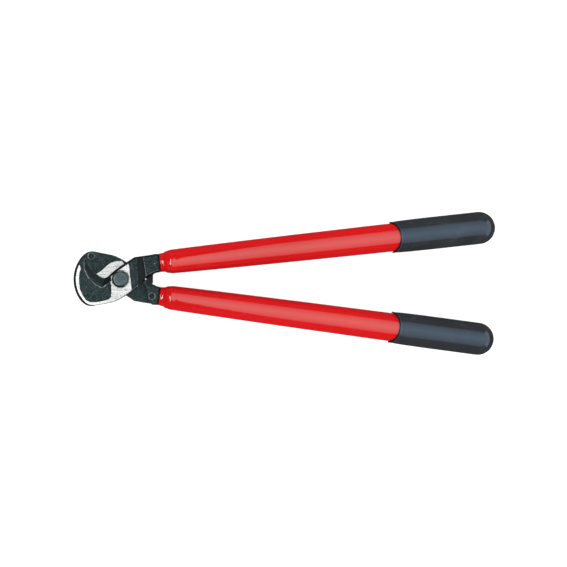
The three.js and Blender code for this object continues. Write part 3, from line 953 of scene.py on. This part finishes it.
def red_material():
    """Dipped and polished insulation: deep red, with faint flow lines and rubbed-in hairlines."""
    s = Shader("red_insulation_gloss")
    flow = s.noise(26, 3, 0.5, s.stretched((0.25, 1.0, 1.0), -0.12))
    orange_peel = s.noise(420, 2, 0.5)
    hairs = s.noise(900, 3, 0.75, s.stretched((0.02, 1.0, 1.0), 0.12))
    scuffs = s.range(s.noise(34, 5, 0.65), 0.60, 0.72)
    colour = s.mix(s.range(flow, 0.3, 0.7), (0.335, 0.0030, 0.0040), (0.372, 0.0042, 0.0052))
    colour = s.mix(s.math("MULTIPLY", scuffs, 0.18), colour, (0.46, 0.016, 0.015))
    height = s.math("ADD", s.math("MULTIPLY", orange_peel, 0.030), s.math("MULTIPLY", hairs, 0.012))
    height = s.math("ADD", height, s.math("MULTIPLY", flow, 0.35))
    rough = s.math("ADD", s.range(flow, 0.3, 0.7, 0.05, 0.08), s.math("MULTIPLY", scuffs, 0.05))
    return s.finish(
        Base_Color=colour,
        Roughness=rough,
        Specular_Tint=(0.5, 1.0, 0.93),
        Normal=s.bump(height, 0.35, 0.0004),
    )


def grip_material():
    """Slate-dark soft plastic, smooth from the mould, with handling marks, and painted shade and a
    painted highlight at its mouth.
    """
    s = Shader("dark_grip_soft")
    skin = s.noise(700, 3, 0.6)
    clouds = s.noise(30, 4, 0.55)
    handled = s.range(s.noise(60, 5, 0.65), 0.55, 0.72)
    colour = s.mix(s.range(clouds, 0.3, 0.7), (0.0130, 0.0138, 0.0150), (0.0176, 0.0186, 0.0200))
    colour = s.mix(s.math("MULTIPLY", handled, 0.25), colour, (0.034, 0.036, 0.038))
    # Painted shade at the mouth and a painted highlight on the lip's bead, where the mesh marks
    # them.
    colour = s.mix(s.math("MULTIPLY", s.mark("shade"), 0.85), colour, (0.003, 0.003, 0.004))
    colour = s.mix(s.math("MULTIPLY", s.mark("glint"), 0.35), colour, (0.06, 0.07, 0.085))
    height = s.math("ADD", s.math("MULTIPLY", skin, 0.05), s.math("MULTIPLY", clouds, 0.4))
    rough = s.math("ADD", s.range(clouds, 0.3, 0.7, 0.12, 0.17), s.math("MULTIPLY", handled, 0.06))
    return s.finish(
        Base_Color=colour,
        Roughness=rough,
        Specular_Tint=(0.42, 0.66, 0.96),
        Normal=s.bump(height, 0.3, 0.0004),
    )


def plain_plastic(name, dark, light, rough):
    """Moulded plastic with a matt spark-eroded grain and flow clouds."""
    s = Shader(name)
    clouds = s.noise(60, 4, 0.55)
    grain = s.noise(1500, 3, 0.65)
    return s.finish(
        Base_Color=s.mix(s.range(clouds, 0.3, 0.7), dark, light),
        Roughness=s.range(grain, 0.3, 0.7, rough - 0.05, rough + 0.07),
        Normal=s.bump(grain, 0.4, 0.0002),
    )


def floor_material():
    """Pale paper sweep, lit through from below so that it stays near white."""
    s = Shader("paper_floor")
    fibre = s.noise(90, 4, 0.6)
    return s.finish(
        Base_Color=s.mix(s.range(fibre, 0.3, 0.7), (0.46, 0.46, 0.46), (0.50, 0.50, 0.50)),
        Roughness=1.0,
        Specular_IOR_Level=0.0,
        Emission_Color=(1.0, 1.0, 1.0),
        Emission_Strength=0.62,
    )


# ---- the object ----

slot_of = {part["node"]: part["material_slot"] for part in frame["record"]["subparts"]}
steel = blade_material()
bolt_steel = turned_steel("bolt_steel_oiled", (0.024, 0.036, 0.039), (0.046, 0.063, 0.067), 0.34)
zinc = zinc_material()
red = red_material()
dark = grip_material()
nylon = plain_plastic("white_nylon_moulded", (0.72, 0.70, 0.64), (0.82, 0.81, 0.76), 0.5)
grey = plain_plastic("grey_plastic_moulded", (0.13, 0.13, 0.14), (0.18, 0.18, 0.19), 0.6)

blade, sleeve_shape, grip_shape = blade_mesh(), sleeve_mesh(), grip_mesh()
for side, blade_side, place in (("upper", "front", UPPER), ("lower", "rear", LOWER)):
    body = f"{side}_lever"
    node = f"{blade_side}_blade"
    make_piece(f"{node}_forged", blade, place, steel, body, node)
    along = place @ ALONG_HANDLE
    node = f"{side}_insulation_sleeve"
    make_piece(f"{node}_moulded", sleeve_shape, along, red, body, node)
    node = f"{side}_grip"
    make_piece(f"{node}_moulded", grip_shape, along, dark, body, node)

spring_bottom, spring_top = spring_low[2] / MM, spring_high[2] / MM
pivot_pieces = {
    "pivot_bolt": bolt_mesh(),
    "flat_washer": ring_mesh(6.3, 10.1, washer_low[2] / MM, washer_high[2] / MM),
    "disc_spring": ring_mesh(6.3, 9.6, spring_bottom, spring_top - 0.7, 0.7),
    "pivot_nut": nut_mesh(),
}
for node, shape in pivot_pieces.items():
    make_piece(f"{node}_turned", shape, PIVOT, bolt_steel, "upper_lever", node)

finishes = {
    "zinc_steel": zinc,
    "bolt_steel": bolt_steel,
    "white_nylon": nylon,
    "grey_plastic": grey,
}
for node, obj in frame["nodes"].items():
    if slot_of[node] in finishes:
        for slot in obj.material_slots:
            slot.material = finishes[slot_of[node]]


# ---- floor, light and camera ----


def stage_plane(name, width, depth, place, material):
    mesh = bpy.data.meshes.new(name)
    x, y = width / 2, depth / 2
    mesh.from_pydata([(-x, -y, 0), (x, -y, 0), (x, y, 0), (-x, y, 0)], [], [(0, 1, 2, 3)])
    mesh.materials.append(material)
    plane = bpy.data.objects.new(name, mesh)
    plane.location = place
    bpy.context.collection.objects.link(plane)
    return plane


def softbox_material(depth):
    """A diffuser that is brightest across its middle and falls off towards its two ends."""
    s = Shader("softbox_diffuser")
    split = s.add("ShaderNodeSeparateXYZ")
    s.feed(split.inputs[0], s.place)
    off = s.math("ABSOLUTE", split.outputs["Y"])
    glow = s.add("ShaderNodeEmission")
    s.feed(glow.inputs["Strength"], s.range(off, 0.0, depth / 2, 2.95, 1.1))
    output = s.tree.nodes["Material Output"]
    s.tree.links.new(glow.outputs[0], output.inputs["Surface"])
    return s.material


def area_lamp(name, size, place, degrees, watts, in_gloss):
    light = bpy.data.lights.new(name, "AREA")
    light.shape = "RECTANGLE"
    light.size, light.size_y = size
    light.energy = watts
    lamp = bpy.data.objects.new(name, light)
    lamp.location = place
    lamp.rotation_euler = [math.radians(turn) for turn in degrees]
    lamp.visible_camera = False
    lamp.visible_glossy = in_gloss
    bpy.context.collection.objects.link(lamp)


TOOL_MIDDLE = 0.19
LAMP_HEIGHT = 2.4
SOFTBOX_DEPTH = 6.6
below_the_tool = (TOOL_MIDDLE, 0, cad_box[0][2] - 0.0004)
floor = stage_plane("paper_floor", 60, 60, below_the_tool, floor_material())
floor.visible_glossy = False
diffuser = softbox_material(SOFTBOX_DEPTH)
softbox = stage_plane("softbox", 3.5, SOFTBOX_DEPTH, (1.47, 0, LAMP_HEIGHT), diffuser)
softbox.visible_camera = False
softbox.visible_shadow = False

# Lamps that show in gloss: a softbox past the grips, and a bright strip beyond the jaws.
area_lamp("end_softbox", (5.2, 2.3), (3.3, 0, 1.25), (90, 0, 90), 95, True)
area_lamp("strip", (0.28, 2.6), (-0.87, -0.35, LAMP_HEIGHT), (0, -20, 0), 32, True)
for azimuth, watts in ((0, 48), (180, 48), (270, 20)):
    turn = math.radians(azimuth)
    place = (TOOL_MIDDLE + 2.2 * math.sin(turn), -2.2 * math.cos(turn), 0.62)
    area_lamp(f"side_fill_{azimuth}", (2.4, 1.2), place, (75, 0, azimuth), watts, False)

scene = bpy.context.scene
world = bpy.data.worlds.new("studio")
world.use_nodes = True
sky = world.node_tree.nodes["Background"].inputs
sky["Color"].default_value = (0.9, 0.95, 1.0, 1)
sky["Strength"].default_value = 0.07
scene.world = world
scene.view_settings.view_transform = "Standard"
scene.view_settings.look = "None"

lens = bpy.data.cameras.new("overhead")
lens.lens, lens.sensor_width = 100, 36
lens.clip_end = 100
camera = bpy.data.objects.new("overhead", lens)
camera.location = (0.1933, -0.0030, MID_PLANE * MM + 1.8745)
camera.rotation_euler = (0, 0, math.radians(0.70))
scene.collection.objects.link(camera)
scene.camera = camera
